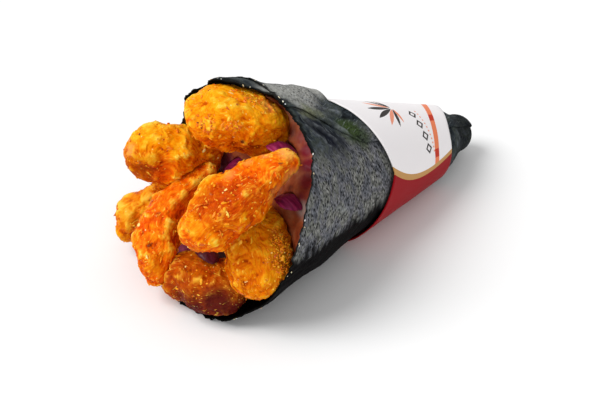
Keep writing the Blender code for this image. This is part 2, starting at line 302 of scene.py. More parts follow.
def printedPaper():
    mat, add = newMaterial("coated printed paper")  # smooth white stock with flat inks
    look = sleeve["print"]
    degrees, length = sleeve["mapSize"]
    layout = add("ShaderNodeSeparateXYZ", add("ShaderNodeUVMap", uv_map="turns")).outputs
    turn, along = add("MULTIPLY", layout[0], degrees), add("MULTIPLY", layout[1], length)
    drift = add("SUBTRACT", along, look["fieldAlong"])
    bend = add("MULTIPLY", add("MULTIPLY", drift, drift), look["fieldBend"])
    past = add("SUBTRACT", add("ABSOLUTE", add("SUBTRACT", turn, look["fieldMiddle"])),
               add("SUBTRACT", look["fieldHalf"], bend))
    inField = add("LESS_THAN", past, 0.0)
    inks = [(add("GREATER_THAN", past, 0.0), "gold"),  # each a mask and an ink, in printing order
            (add("GREATER_THAN", past, look["goldWidth"]), "red")]

    # The stripe curves round by the narrow end, with two darker marks on it
    reach = add("DIVIDE", add("SUBTRACT", look["stripeFrom"], turn), look["stripeSpan"])
    curved = add("POWER", add("MAXIMUM", reach, 0.0), look["stripeCurve"])
    edge = add("SUBTRACT", look["stripeEnd"], add("MULTIPLY", curved, look["stripeDrop"]))
    into = add("SUBTRACT", along, edge)
    stripe = add("MULTIPLY", add("GREATER_THAN", into, 0.0), add("LESS_THAN", into, look["stripeWidth"]))
    stripe = add("MULTIPLY", stripe, inField)
    inks.append((stripe, "stripe"))
    for middle in look["marks"]:
        near = add("LESS_THAN", add("ABSOLUTE", add("SUBTRACT", turn, middle)), look["markHalf"])
        inks.append((add("MULTIPLY", near, stripe), "mark"))

    # A fan of slender leaves, then a row of lozenges over a row of small ones
    aside = add("MULTIPLY", add("SUBTRACT", turn, look["fanTurn"]), math.radians(look["fanAlong"] * flare))
    ahead = add("SUBTRACT", along, look["fanAlong"])
    for tilt, long, slim, ink in look["leaves"]:
        c, s = math.cos(math.radians(tilt)), math.sin(math.radians(tilt))
        out = add("MULTIPLY_ADD", aside, s / long, add("MULTIPLY_ADD", ahead, c / long, -look["leafOut"]))
        off = add("ABSOLUTE", add("MULTIPLY_ADD", aside, c / slim, add("MULTIPLY", ahead, -s / slim)))
        leaf = add("LESS_THAN", off, add("SUBTRACT", 1.0, add("MULTIPLY", out, out)))
        inks.append((add("MULTIPLY", leaf, inField), ink))
    x = add("MULTIPLY", add("SUBTRACT", turn, look["rowTurn"]), math.radians(look["rowAlong"] * flare))
    y = add("SUBTRACT", along, look["rowAlong"])
    row = add("MULTIPLY", add("GREATER_THAN", x, 0.0), add("LESS_THAN", x, look["rowLength"]))
    for step, size, offset, ink in look["lozenges"]:
        cell = add("ABSOLUTE", add("SUBTRACT", add("FLOORED_MODULO", x, step), step / 2))
        lozenge = add("LESS_THAN", add("ADD", cell, add("ABSOLUTE", add("SUBTRACT", y, offset))), size)
        inks.append((add("MULTIPLY", add("MULTIPLY", lozenge, row), inField), ink))

    place = add("ShaderNodeTexCoord").outputs["Object"]
    grain = add("ShaderNodeTexNoise", {"Vector": place, "Scale": 1 / (look["grain"] * mm), "Detail": 2.0})
    return endMaterial(mat, {
        "Base Color": painted(add, linear(look["white"]), [(mask, look[ink]) for mask, ink in inks]),
        "Normal": add("ShaderNodeBump", {**look["bump"], "Height": grain}),
        **look["shader"],
    })


def makeSleeve():
    obj = newObject("sleeve_paper", bpy.data.meshes.new("sleeve_paper"))
    growWith(obj, sleeveTree(), {**inputsOf(sleeve), "Material": printedPaper()})
    thick = obj.modifiers.new("thickness", "SOLIDIFY")
    thick.thickness = sleeve["thickness"] * mm
    thick.offset = 1.0
    settle(obj)
    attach(obj, "root")
    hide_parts("paper_sleeve")
    print("sleeve:", len(obj.data.polygons), "faces")


makeSleeve()

# Nori

nori = {
    "from": 40.0, "to": 489.0, "thickness": 0.45,
    "out": -0.25, "lap": 0.8, "dip": (135.0, 350.0),
    "freeEdge": (458.0, 130.0, 489.0, 104.0),  # turn and place along, at the rim and at the sleeve
    "tipRound": 42.0, "tipLength": 7.4, "tipSlim": 2.4, "slimOver": (44.0, 54.0), "tipHole": 4.0,
    "rim": ((0, 138), (20, 137.5), (45, 143.5), (67, 146), (93, 134.5), (112, 134), (137, 136), (152, 140),
            (166, 146), (192, 151), (230, 154), (262, 159), (290, 161), (308, 155), (325, 142), (340, 138)),
    "mouthFlare": 1.1, "mouthOver": (106.0, 130.0), "mouthOut": 33.0,
    "puff": 4.4, "puffAngle": 63.0, "puffFar": 50.0, "puffNear": (19.0, 54.0), "puffOver": (104.0, 136.0),
    "flapPuff": 3.9, "flapSquare": 0.6, "flapRise": (0.3, 1.3), "flapFall": (109.0, 132.0),
    "bed": 0.7, "bedOver": (0.5, 6.0),
    "columns": 380, "tipRows": 12, "tailRows": 18, "hiddenRows": 5, "stepRows": 5, "openRows": 76,
    "tailEnd": 64.0, "step": (-1.0, 2.0),  # rows crowd over the step at the sleeve's wide end
    # Waves of the sheet, each layer a size and a height; it lies still under the sleeve
    "fray": ((1.1, 0.8), (5.0, 0.7)),
    "buckles": ((16.0, 0.6), (6.5, 0.35)),  # both turns share them
    "crinkles": ((2.6, 0.14), (1.1, 0.09)),  # each turn has its own
    "openOver": (1.5, 8.0), "tailOver": (3.0, 8.0), "tailWaves": 0.5,
    "lift": ((-24, 15, 62, 10, 1.5),),  # place, radius, height
    # Sharp pleats down from the rim: length and width, counted on a circle this far out
    "pleatSize": (12.0, 3.2), "pleatOut": 30, "pleatHeight": 0.42, "pleatOver": (26.0, 6.0),
    "pleatSharp": 2.5, "pleatSunk": 0.5,
    # Creases and valleys: two ends, half width, height; the valleys are also painted dark as shade, and the
    # creases painted light
    "creases": (((-15.1, -9.9, 56.2), (-9, -17.4, 48.8), 0.7, 0.6),
                ((-5, -10, 50.5), (-1, -15, 46), 0.7, 0.4),
                ((-16.6, -8.6, 57.6), (-15, -12.5, 54.5), 0.8, 0.5),
                ((-8, 0, 56), (3, -5, 48), 0.8, 0.4),
                ((-18, -13.5, 56), (-13, -20, 50), 0.7, 0.4),
                ((-10, -27, 41), (4, -24, 36), 0.9, 0.3),
                ((-28, -32, 40), (-12, -31, 30), 0.9, 0.3)),
    "valleys": (((-17.2, -6.6, 59), (-12.5, -8.6, 56), 0.55, -0.5),
                ((-2, -14, 48.5), (6, -18, 41), 0.6, -0.5),
                ((-12.5, -8.6, 56), (-2, -14, 48.5), 0.7, -0.6),
                ((-9, 5, 58.5), (-3, 1, 55), 0.5, -0.4),
                ((-16, -11, 55.5), (-12, -16.5, 51.5), 1.1, -0.7),
                ((-6, -3.5, 53.5), (5, -9, 46), 0.5, -0.4),
                ((-22, -18, 49), (-12, -24, 44), 0.6, -0.4)),
    "wander": 2.5,  # how broadly a crease strays from its line
    # Zones: place, radius and strength of each
    "zones": {
        "navy": ((-14, -12, 54.5, 5, 1), (-13, -14, 53, 6, 1), (-11, -17, 50, 6, 0.9),
                 (-8, -19, 48, 7, 0.5)),
        "olive": ((1.7, -13.8, 45.7, 7, 1), (0, -12, 47.5, 5, 0.8), (4, -16, 43, 6, 0.8),
                  (-24, -20, 42, 8, 0.5)),
        "moss": ((-11.2, -6.9, 55.9, 5, 1), (-7, -7, 53.5, 4, 0.6), (-15.5, -8.5, 57, 2.5, 0.7)),
        # dusty: painted sheen of light on the top flap
        "dusty": ((-10.5, 2.5, 58.5, 9, 1), (-4.5, 4.5, 54.7, 9, 1), (-16, 3, 62, 9, 0.9),
                  (-7, -1, 55, 6, 0.9), (3.5, 8.6, 49.9, 8, 1), (-14, -4, 59, 5, 0.7)),
        # felt: felted grain with stronger fibres and pits, and a lighter palette that is painted sheen on
        # the near side
        "felt": ((-28, -32, 32, 24, 1), (-12, -30, 32, 24, 1), (-30, -30, 18, 16, 1),
                 (0, -24, 32, 22, 1), (-24, -26, 44, 12, 1), (-37, -30, 26, 14, 1),
                 (-44, -26, 14, 12, 1), (-32, -30, 46, 8, 0.9), (-37, -33, 41, 9, 1),
                 (-43, -36, 34, 11, 1), (-48, -35, 26, 11, 1), (-20, 34, 26, 26, 0.6),
                 (-6, 3, 56, 13, 0.5)),
    },
    "streaks": ((1.0, 4.0), (7.0, 4.0)), "streakSlim": (1.2, 1.2, 5.0),  # they fray the painted shade on the underside
    # The underside is darkened as painted shade, and the sheet is darker towards the tip
    "underOver": (0.5, -5.0), "underAlong": (60.0, 70.0), "tipDark": 0.6, "tipDarkOver": (54.0, 44.0),
    # The damp rim is narrow low down, wider on top and widest on the far side
    "dampWidths": (0.6, 2.1, 6.0), "dampUp": (50.0, 57.0), "dampAcross": (4.0, 13.0),
    "dampEnd": (-1.0, -0.2), "dampFray": ((1.5, 1.0),),
    "surface": {
        "sheetUnit": 200.0, "fibreTurn": 0.745,  # millimetres to one unit of its UV map; radians
        # Length, width and detail of each pattern
        "patterns": {"fibres": (1.4, 0.65, 2.0), "dashes": (5.0, 0.5, 1.0), "clouds": (7.0, 5.0, 4.0),
                     "pits": (1.6, 1.0, 0.0)},
        # The felted palette is lighter than the plain one: painted sheen where felt lies
        "felted": ((0.30, "#62666e"), (0.40, "#84878f"), (0.48, "#a2a2a8"), (0.55, "#999b93"),
                   (0.62, "#b0b0ac"), (0.72, "#bebeb8")),
        "plain": ((0.34, "#1a1e22"), (0.46, "#3c444a"), (0.54, "#484f4a"), (0.64, "#565d64")),
        "fibres": ((0.34, "#626262"), (0.46, "#9c9c9c"), (0.56, "#c4c4c4"), (0.68, "#f0f0f0")),
        # dusty is painted light on the top flap; navy, olive and moss are the sheet's own tints
        "blotches": (("navy", "#0c0e22", 0.92), ("olive", "#405426", 0.9), ("moss", "#8e9276", 0.9),
                     ("dusty", "#c8c8c2", 0.92)),
        "dash": "#9aa0a4", "dashes": (0.63, 0.71, 0.0, 0.3),
        "pit": "#0a0c0c", "pits": (0.38, 0.22, 0.0, 1.0),
        # Painted shade in the valleys and on the underside; damp darkens the torn rim
        "darks": (("valleys", "#0c0f12", 0.8), ("under", "#070506", 1.0), ("damp", "#080a08", 0.94)),
        # How much of each a mask brings, and how much there is without it
        "fibreShare": (0.5, 0.5), "pitShare": (0.55, 0.35), "roughness": (-0.15, 0.8),
        "creaseDash": 0.4, "noise": {"Roughness": 0.6, "Distortion": 0.4},
        "bump": {"Strength": 0.9, "Distance": 0.4 * mm},
        "shader": {"Specular IOR Level": 0.05},
    },
}


def creased(places, lines):
    amount, height = np.zeros(len(places)), np.zeros(len(places))
    wander = np.array([noise.noise_vector(Vector(p) / nori["wander"]) for p in places])
    for start, end, wide, high in nori[lines]:
        way = np.subtract(end, start)
        share = np.clip((places - start) @ way / (way @ way), 0.0, 1.0)
        away = np.linalg.norm(places + wander - start - share[:, None] * way, axis=1)
        near = np.exp(-(away / wide) ** 2)
        amount, height = np.maximum(amount, near), height + high * near
    return amount, height


def rim(angle):
    angle = angle % 360.0
    turns, alongs = np.array(nori["rim"] + ((360, nori["rim"][0][1]),), float).T
    i = np.clip(np.searchsorted(turns, angle, "right") - 1, 0, len(turns) - 2)
    return mix(alongs[i], alongs[i + 1], smooth(turns[i], turns[i + 1], angle))


def puffShape(along, angle):
    away = (angle - nori["puffAngle"] + 180.0) % 360.0 - 180.0
    near = mix(*nori["puffNear"], smooth(*nori["puffOver"], along))
    width = np.where(away < 0, nori["puffFar"], near)
    return np.cos(np.radians(90.0 * np.minimum(np.abs(away) / width, 1.0))) ** 2


def lean(angle):
    return mix(nori["out"] - nori["lap"], nori["out"], smooth(*nori["dip"], angle))


def wall(along, angle):
    slim = nori["tipSlim"] * (1.0 - smooth(*nori["slimOver"], along))
    opening = nori["mouthFlare"] * smooth(*nori["mouthOver"], along)
    stuffed = nori["puff"] * smooth(*nori["puffOver"], along) * puffShape(along, angle)
    return along * flare + lean(angle) - slim + opening + stuffed


def flapLift(along, angle):
    rise = smooth(*nori["flapRise"], along - wideEnd(angle)) * (1.0 - smooth(*nori["flapFall"], along))
    return nori["flapPuff"] * rise * puffShape(along, angle) ** nori["flapSquare"]


def layOnFloor(where, along, angle):  # the paper's bed lifts it under the sleeve
    bed = nori["bed"] * (1.0 - smooth(*nori["bedOver"], along - wideEnd(angle)))
    where[..., 2] = np.maximum(where[..., 2], bed)
    return where


def noriPlaces():
    turn = np.linspace(nori["from"], nori["to"], nori["columns"] + 1)[:, None]
    edge = wideEnd(turn)
    around = conePoint(rim(turn), turn, nori["mouthOut"] + 0 * turn)
    tear = ripple(around + turn[..., None], nori["fray"])
    stepFrom, stepTo = nori["step"]
    start = along = nori["tipRound"] + 0 * turn
    for end, rows in ((nori["tailEnd"] + 0 * turn, nori["tailRows"]), (edge + stepFrom, nori["hiddenRows"]),
                      (edge + stepTo, nori["stepRows"]), (rim(turn) - tear, nori["openRows"])):
        along = np.hstack([along, mix(start, end, np.linspace(0, 1, rows + 1)[None, 1:])])
        start = end
    rimEnd, rimAlong, sleeveTurn, sleeveAlong = nori["freeEdge"]
    last = mix(rimEnd, sleeveTurn, smooth(rimAlong, sleeveAlong, along))
    share = (turn - nori["from"]) / (nori["to"] - nori["from"])
    turn = mix(nori["from"], last, share)
    lapped = wall(along, turn - 360) + nori["lap"] + flapLift(along, turn - 360)
    out = np.where(turn > 360, lapped, wall(along, np.minimum(turn, 360.0)))

    free = smooth(*nori["openOver"], along - wideEnd(turn))
    free = free + nori["tailWaves"] * smooth(*nori["tailOver"], sleeve["Narrow End"] - along)
    level = conePoint(along, turn, out)
    out = out + free * ripple(level, nori["buckles"])
    elsewhere = np.where(turn > 360, 90.0, 0.0)[..., None]  # so that the lap crinkles its own way
    out = out + free * ripple(level + elsewhere, nori["crinkles"])
    long, slim = nori["pleatSize"]
    ways = np.stack([along / long, np.radians(turn) * nori["pleatOut"] / slim, turn // 360 + 0 * along], -1)
    ridges = 1.0 - nori["pleatSharp"] * np.abs(ripple(ways, ((1.0, 1.0),)))
    depth = smooth(*nori["pleatOver"], rim(turn) - along)
    out = out + nori["pleatHeight"] * free * depth * (ridges - nori["pleatSunk"])
    sheet = level.reshape(-1, 3)
    raisedBy = creased(sheet, "creases")[1] + creased(sheet, "valleys")[1] + spots(sheet, nori["lift"])
    out = out + free * raisedBy.reshape(out.shape)
    body = layOnFloor(conePoint(along, turn, out), along, turn)

    pole = np.radians(mix(nori["tipHole"], 90.0, np.linspace(0, 1, nori["tipRows"] + 1)[None, :-1]))
    tipTurn = np.linspace(nori["from"], nori["to"], nori["columns"] + 1)[:, None] + 0 * pole
    end = nori["tipRound"] * flare - nori["tipSlim"]
    slant = np.stack([-np.cos(pole) / nori["tipLength"], np.sin(pole) / end])
    slant /= np.linalg.norm(slant, axis=0)
    lift = np.where(tipTurn > 360, nori["out"], lean(tipTurn))
    tipAlong = nori["tipRound"] - nori["tipLength"] * np.cos(pole) + slant[0] * lift
    tip = layOnFloor(conePoint(tipAlong, tipTurn, end * np.sin(pole) + slant[1] * lift), tipAlong, tipTurn)
    return np.hstack([tip, body]), np.hstack([tipAlong, along]), np.hstack([tipTurn, turn])


def toastedNori():
    mat, add = newMaterial("toasted nori sheet")  # pressed seaweed: matt, blotchy, with dark pits; painted sheen on the top flap and near side, painted highlights on the creases, painted shade in the valleys and on the underside
    look = nori["surface"]
    flat = add("ShaderNodeUVMap", uv_map="sheet")
    patterns = {}
    for name, (long, slim, detail) in look["patterns"].items():
        scale = (slim / look["sheetUnit"], long / look["sheetUnit"], 1.0)
        laid = {"Vector": flat, "Rotation": (0, 0, look["fibreTurn"]), "Scale": scale}
        laid = add("ShaderNodeMapping", laid, vector_type="TEXTURE")
        if name == "pits":
            patterns[name] = add("ShaderNodeTexVoronoi", {"Vector": laid, "Scale": 1.0})
        else:
            laid = {"Vector": laid, "Scale": 1.0, "Detail": detail, **look["noise"]}
            patterns[name] = add("ShaderNodeTexNoise", laid)
    felt, litCreases, damp = (add("ShaderNodeAttribute", attribute_name=name).outputs["Fac"]
                               for name in ("felt", "creases", "damp"))
    plain, felted = (add("ShaderNodeValToRGB", patterns["clouds"], stops=look[name])
                     for name in ("plain", "felted"))
    colour = add("ShaderNodeMix", {0: felt, 6: plain, 7: felted}, data_type="RGBA")
    colour = stained(add, colour, look["blotches"])
    fibres = add("ShaderNodeValToRGB", patterns["fibres"], stops=look["fibres"])
    colour = add("ShaderNodeMix", {0: add("MULTIPLY_ADD", felt, *look["fibreShare"]), 6: colour, 7: fibres},
                 data_type="RGBA", blend_type="MULTIPLY")
    dashes = add("ShaderNodeMapRange", patterns["dashes"], *look["dashes"])
    # A painted highlight along the raised creases, in the dash colour
    dashes = add("MAXIMUM", dashes, add("MULTIPLY", litCreases, look["creaseDash"]))
    pits = add("ShaderNodeMapRange", patterns["pits"], *look["pits"])
    pits = add("MULTIPLY", pits, add("MULTIPLY_ADD", felt, *look["pitShare"]))
    colour = painted(add, colour, ((dashes, look["dash"]), (pits, look["pit"])))
    return endMaterial(mat, {
        "Base Color": stained(add, colour, look["darks"]),
        "Normal": add("ShaderNodeBump", {**look["bump"], "Height": patterns["fibres"]}),
        "Roughness": add("MULTIPLY_ADD", damp, *look["roughness"]),
        **look["shader"],
    })


def makeNori():
    where, along, turn = noriPlaces()
    obj, quads = newSheet("nori_sheet", where)
    flatTurn = np.radians(turn.ravel()) * math.sin(halfAngle)
    slant = along.ravel() / math.cos(halfAngle) / nori["surface"]["sheetUnit"]
    flat = np.stack([slant * np.cos(flatTurn), slant * np.sin(flatTurn)], -1)
    layer = obj.data.uv_layers.new(name="sheet")  # the sheet as it lies when unrolled
    layer.data.foreach_set("uv", flat[quads.ravel()].ravel())
    obj.data.materials.append(toastedNori())

    spread = where.reshape(-1, 3)
    for zone, places in nori["zones"].items():
        addAttribute(obj, zone, spots(spread, places))
    for lines in ("creases", "valleys"):
        addAttribute(obj, lines, creased(spread, lines)[0])
    # Painted shade on the underside, frayed by streaks, with the darker tip mixed in
    fine, broad = nori["streaks"]
    streaks = ripple(spread / nori["streakSlim"], (fine,)) + ripple(spread, (broad,))
    under = smooth(*nori["underOver"], (spread - apex) @ raised + streaks)
    under = under * smooth(*nori["underAlong"], along.ravel())
    dark = nori["tipDark"] * smooth(*nori["tipDarkOver"], along.ravel() + streaks)
    addAttribute(obj, "under", np.maximum(under, dark))
    low, top, far = nori["dampWidths"]
    wide = mix(top, far, smooth(*nori["dampAcross"], spread[:, 1]))
    wide = mix(low, wide, smooth(*nori["dampUp"], spread[:, 2]))
    reach = (along - along[:, -1:]).ravel()  # how far below the torn rim
    addAttribute(obj, "damp", smooth(*nori["dampEnd"], (reach + ripple(spread, nori["dampFray"])) / wide))

    thick = obj.modifiers.new("thickness", "SOLIDIFY")
    thick.thickness = nori["thickness"] * mm
    thick.offset = -1.0
    settle(obj)
    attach(obj, "root")
    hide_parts("nori_cone")
    print("nori:", len(obj.data.polygons), "faces")


makeNori()

# Relief shared by the crusts, the onion and the filling

reliefs = {
    "pattern": {"Detail": 1.5, "Distortion": 0.6},
    "swing": (4.0, -2.0),  # stretches the pattern to both sides of the skin
    "crests": (-3.2, 1.1),  # makes sharp crests with rounded hollows between
    "pastRim": 1.0, "offWall": (0.3, 1.2), "offFloor": (0.1, 0.8),  # where the relief sets in
}


def reliefTree():
    tree, add, given = newTree("relief", {
        "Lump Size": 3.0 * mm, "Lump Height": 0.3 * mm, "Strand Height": 0.2 * mm, "Grain Size": 0.6 * mm,
        "Grain Height": 0.1 * mm, "Edge Steps": 120, "Edge Low": 0.3 * mm, "Edge High": 0.9 * mm,
        "Fold Depth": 0.4 * mm, "Seed": 0.0,
    })
    place, normal = add("GeometryNodeInputPosition"), add("GeometryNodeInputNormal")
    strand, loose = (add("GeometryNodeInputNamedAttribute", {"Name": name}, data_type=kind)
                     for name, kind in (("strand", "FLOAT_VECTOR"), ("loose", "FLOAT")))
    total = heights = 0.0
    for layer, where, scale in (("Lump", place, add("DIVIDE", 1.0, given["Lump Size"])),
                                ("Strand", strand, 1.0),
                                ("Grain", place, add("DIVIDE", 1.0, given["Grain Size"]))):
        pattern = {"Vector": where, "W": given["Seed"], "Scale": scale, **reliefs["pattern"]}
        pattern = add("ShaderNodeTexNoise", pattern, noise_dimensions="4D")
        swing = add("MULTIPLY_ADD", pattern, *reliefs["swing"])
        if layer == "Strand":
            swing = add("MULTIPLY_ADD", add("ABSOLUTE", swing), *reliefs["crests"])
        total = add("MULTIPLY_ADD", swing, given[layer + " Height"], total)
        heights = add("ADD", given[layer + " Height"], heights)
    geometry = add("GeometryNodeStoreNamedAttribute", {"Geometry": given["Geometry"], "Name": "relief",
                                                       "Value": add("DIVIDE", total, heights)})
    height = add("MULTIPLY", total, loose)
    push = add("ShaderNodeVectorMath", {0: normal, "Scale": height}, operation="SCALE")
    geometry = add("GeometryNodeSetPosition", {"Geometry": geometry, "Offset": push})
    # Where the surface stands out from its own blurred copy it is an edge, where it lies under it a fold
    blurred = add("GeometryNodeBlurAttribute", {"Value": place, "Iterations": given["Edge Steps"]},
                  data_type="FLOAT_VECTOR")
    apart = add("ShaderNodeVectorMath", place, blurred, operation="SUBTRACT")
    height = add("ShaderNodeVectorMath", apart, normal, operation="DOT_PRODUCT")
    for name, low, high in (("edge", given["Edge Low"], given["Edge High"]),
                            ("fold", 0.0, add("MULTIPLY", given["Fold Depth"], -1.0))):
        eased = add("ShaderNodeMapRange", height, low, high, interpolation_type="SMOOTHSTEP")
        geometry = add("GeometryNodeStoreNamedAttribute",
                       {"Geometry": geometry, "Name": name, "Value": eased})
    endTree(add, geometry, given)
    return tree


relief = reliefTree()


def softCopy(name, node, voxel, rounds):
    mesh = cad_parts[node].data.copy()
    shape = bmesh.new()
    shape.from_mesh(mesh)
    bmesh.ops.remove_doubles(shape, verts=shape.verts, dist=0.01 * mm)
    shape.to_mesh(mesh)
    shape.free()
    mesh.materials.clear()
    obj = newObject(name, mesh)
    skin = obj.modifiers.new("even_skin", "REMESH")
    skin.mode = "VOXEL"
    skin.voxel_size = voxel * mm
    rounded = obj.modifiers.new("rounded", "SMOOTH")
    rounded.factor = 0.5
    rounded.iterations = rounds
    return settle(obj)


def looseness(where):  # 1 in the open, 0 against the nori and the floor
    along, angle, out = conePlace(where)
    clear = wall(np.minimum(along, rim(angle)), angle) - nori["thickness"] - out
    offWall = np.where(along > rim(angle) + reliefs["pastRim"], 1.0, smooth(*reliefs["offWall"], clear))
    return offWall * smooth(*reliefs["offFloor"], where[:, 2])


def dress(node, suffix, look, number, mat):
    obj = softCopy(node + suffix, node, look["voxel"], look["rounds"])
    where = points(obj)
    normals = np.empty(where.size)
    obj.data.vertex_normals.foreach_get("vector", normals)
    normals = normals.reshape(-1, 3)
    if "swells" in look:  # fuller than the solid in these places
        where = where + normals * spots(where, look["swells"])[:, None]
        obj.data.vertices.foreach_set("co", (where * mm).ravel())
    centred = where - where.mean(axis=0)
    lengthwise = np.linalg.eigh(centred.T @ centred)[1].T[::-1]  # longest way first
    lengthwise = lengthwise * np.sign(lengthwise.sum(axis=1))[:, None]
    swirlSize, swirlDepth = look["swirl"]
    swirl = np.array([noise.noise_vector(Vector(p) / swirlSize) for p in where]) * swirlDepth
    addAttribute(obj, "strand", (centred + swirl) @ lengthwise.T / look["strand"])  # along the piece
    addAttribute(obj, "upward", normals[:, 2])
    addAttribute(obj, "loose", looseness(where))
    for zone, places in look["zones"].items():
        everywhere = look.get("pieces", {}).get(node, {}).get(zone, 0.0)
        addAttribute(obj, zone, np.maximum(spots(where, places), everywhere))
    growWith(obj, relief, {**inputsOf(look, mm), "Seed": float(number), "Material": mat})
    settle(obj)
    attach(obj, "root")
    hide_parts(node)
    print(obj.name, len(obj.data.polygons), "faces")
    return obj


# Fried shrimps

crust = {
    "voxel": 0.34, "rounds": 8, "strand": (5.5, 1.25, 1.25), "swirl": (9.0, 5.0),
    "Lump Size": 4.4, "Lump Height": 0.66, "Strand Height": 0.12,
    "Grain Size": 0.9, "Grain Height": 0.06,
    "Edge Low": 0.40, "Edge High": 1.15, "Fold Depth": 0.35,
    # Each piece's share of a zone all over it; roast is browning and, on the low-lying shrimps, painted
    # shade
    "pieces": {
        "shrimp_top": {"roast": 0.10}, "shrimp_left": {"roast": 0.05},
        "shrimp_right": {"red": 0.1, "roast": 0.45}, "shrimp_low_left": {"red": 0.2, "roast": 0.55},
        "shrimp_curled": {"red": 0.78, "roast": 0.34}, "shrimp_front": {"red": 0.52, "roast": 0.24},
        "shrimp_bottom": {"red": 0.4, "roast": 1.0, "wet": 0.2},
    },
    # Swells: place, radius and height; zones: place, radius and strength of each
    "swells": ((-46, 27, 47.5, 10, 1.3), (-55, 31, 17.5, 9, 2.2), (-51, 30, 21, 7, 1.8)),
    "zones": {
        "red": ((-45, -16, 52, 11, 1), (-38, -18, 53, 11, 1), (-55, -18, 50, 8, 0.7),
                (-62, 3, 20, 12, 0.8), (-58, 8, 29, 9, 0.6), (-50, 17, 38, 9, 0.6), (-44, 6, 50, 7, 0.5),
                (-56, -16, 47, 13, 1), (-50, -18, 50, 10, 0.9)),
        # roast: browned crust and painted shade
        "roast": ((-54, 24, 38, 11, 1), (-60, 31, 42, 7, 0.8), (-56, -16, 47, 13, 0.9),
                  (-49, -19, 49, 10, 0.8), (-60, 4, 25, 8, 0.5)),
        # pale: paler crust, and a painted highlight along the front shrimp's upper edge
        "pale": ((-32, -24, 47, 6, 1), (-38, -26, 45, 6, 0.9), (-23, 0, 58, 5, 0.6), (-57, 27, 44, 3, 0.9),
                 (-30, -18, 54, 4, 0.9), (-35, -14, 53.5, 2.5, 0.6), (-40, -11.5, 52, 2.5, 0.6),
                 (-47, -11, 50, 3, 0.5)),
        "wet": ((-60, -19, 11, 9, 1), (-62, -12, 5, 13, 1), (-55, -24, 6, 10, 1),
                (-35, -3, 53, 1.2, 1)),
        "flaky": ((-43, 5, 59, 4, 1), (-38, -1, 59, 4, 1), (-23, 3, 62, 6, 0.5), (-57, -20, 45, 5, 0.5)),
        "grit": ((-40, -28, 31, 7, 1), (-42, -31, 26, 8, 1), (-46, -31, 20, 7, 0.8), (-26, 3, 62, 5, 0.4)),
    },
    "surface": {
        "golden": ((0.05, "#b04400"), (0.22, "#d66000"), (0.38, "#ee7e00"), (0.54, "#fa9806"),
                   (0.72, "#ffac12"), (0.88, "#ffba20"), (1.0, "#ffd048")),
        "reddish": ((0.05, "#a42600"), (0.25, "#d43e00"), (0.46, "#ee5600"), (0.64, "#f97608"),
                    (0.82, "#ff9a14"), (1.0, "#ffcc50")),
        # Patterns: scale, detail, roughness, distortion; grains lie in place, strands along the piece
        "grains": {"broad": (1 / (6 * mm), 2.0, 0.5, 0.8), "gold": (1 / (3.4 * mm), 1.5, 0.5, 1.2),
                   "fine": (1 / (0.75 * mm), 2.0, 0.7, 0.0), "specks": (1 / (1.1 * mm), 1.0, 0.5, 0.0)},
        "strands": {"hairs": (2.2, 3.0, 0.6, 0.3), "flecks": (1.5, 1.0, 0.5, 1.0)},
        # How much each pattern and mask moves a place towards the ramps' pale ends, or to the reddish ramp
        # relief and fold paint shade into the hollows and folds; upward and edge paint light on the tops
        # and edges and make them less red
        "paler": {"relief": 0.20, "upward": 0.16, "hairs": 0.75, "gold": 0.8, "edge": 0.42, "fold": -0.22,
                  "roast": -0.30},
        "redder": {"broad": 1.7, "upward": -0.12, "edge": -0.45, "red": 1.0}, "redStart": -0.76,
        # roast paints browning with shade; pale paints a paler crust and a painted highlight along the
        # front shrimp's upper edge
        "stains": (("roast", "#8a3c00", 0.45), ("pale", "#f0a050", 0.8), ("wet", "#4a0e12", 0.92),
                   ("grit", "#7a3a06", 0.6)),
        # ridge is painted light on upward edges; glint is a painted oil glint
        "fleck": "#ffce48", "flecks": (0.66, 0.74, 0.0, 0.75), "ridge": "#ffc84a", "ridgeShare": 0.5,
        "glint": "#ffe28a", "glints": (0.735, 0.80, 0.0, 0.8),
        "hairFur": 2.0, "fineFur": 0.5, "bump": {"Strength": 0.55, "Distance": 0.3 * mm},
        "shader": {"Roughness": 0.4, "Specular IOR Level": 0.03, "Coat Roughness": 0.12,
                   "Subsurface Weight": 0.12, "Subsurface Radius": (1.0, 0.35, 0.03),
                   "Subsurface Scale": 1.5 * mm},
    },
}


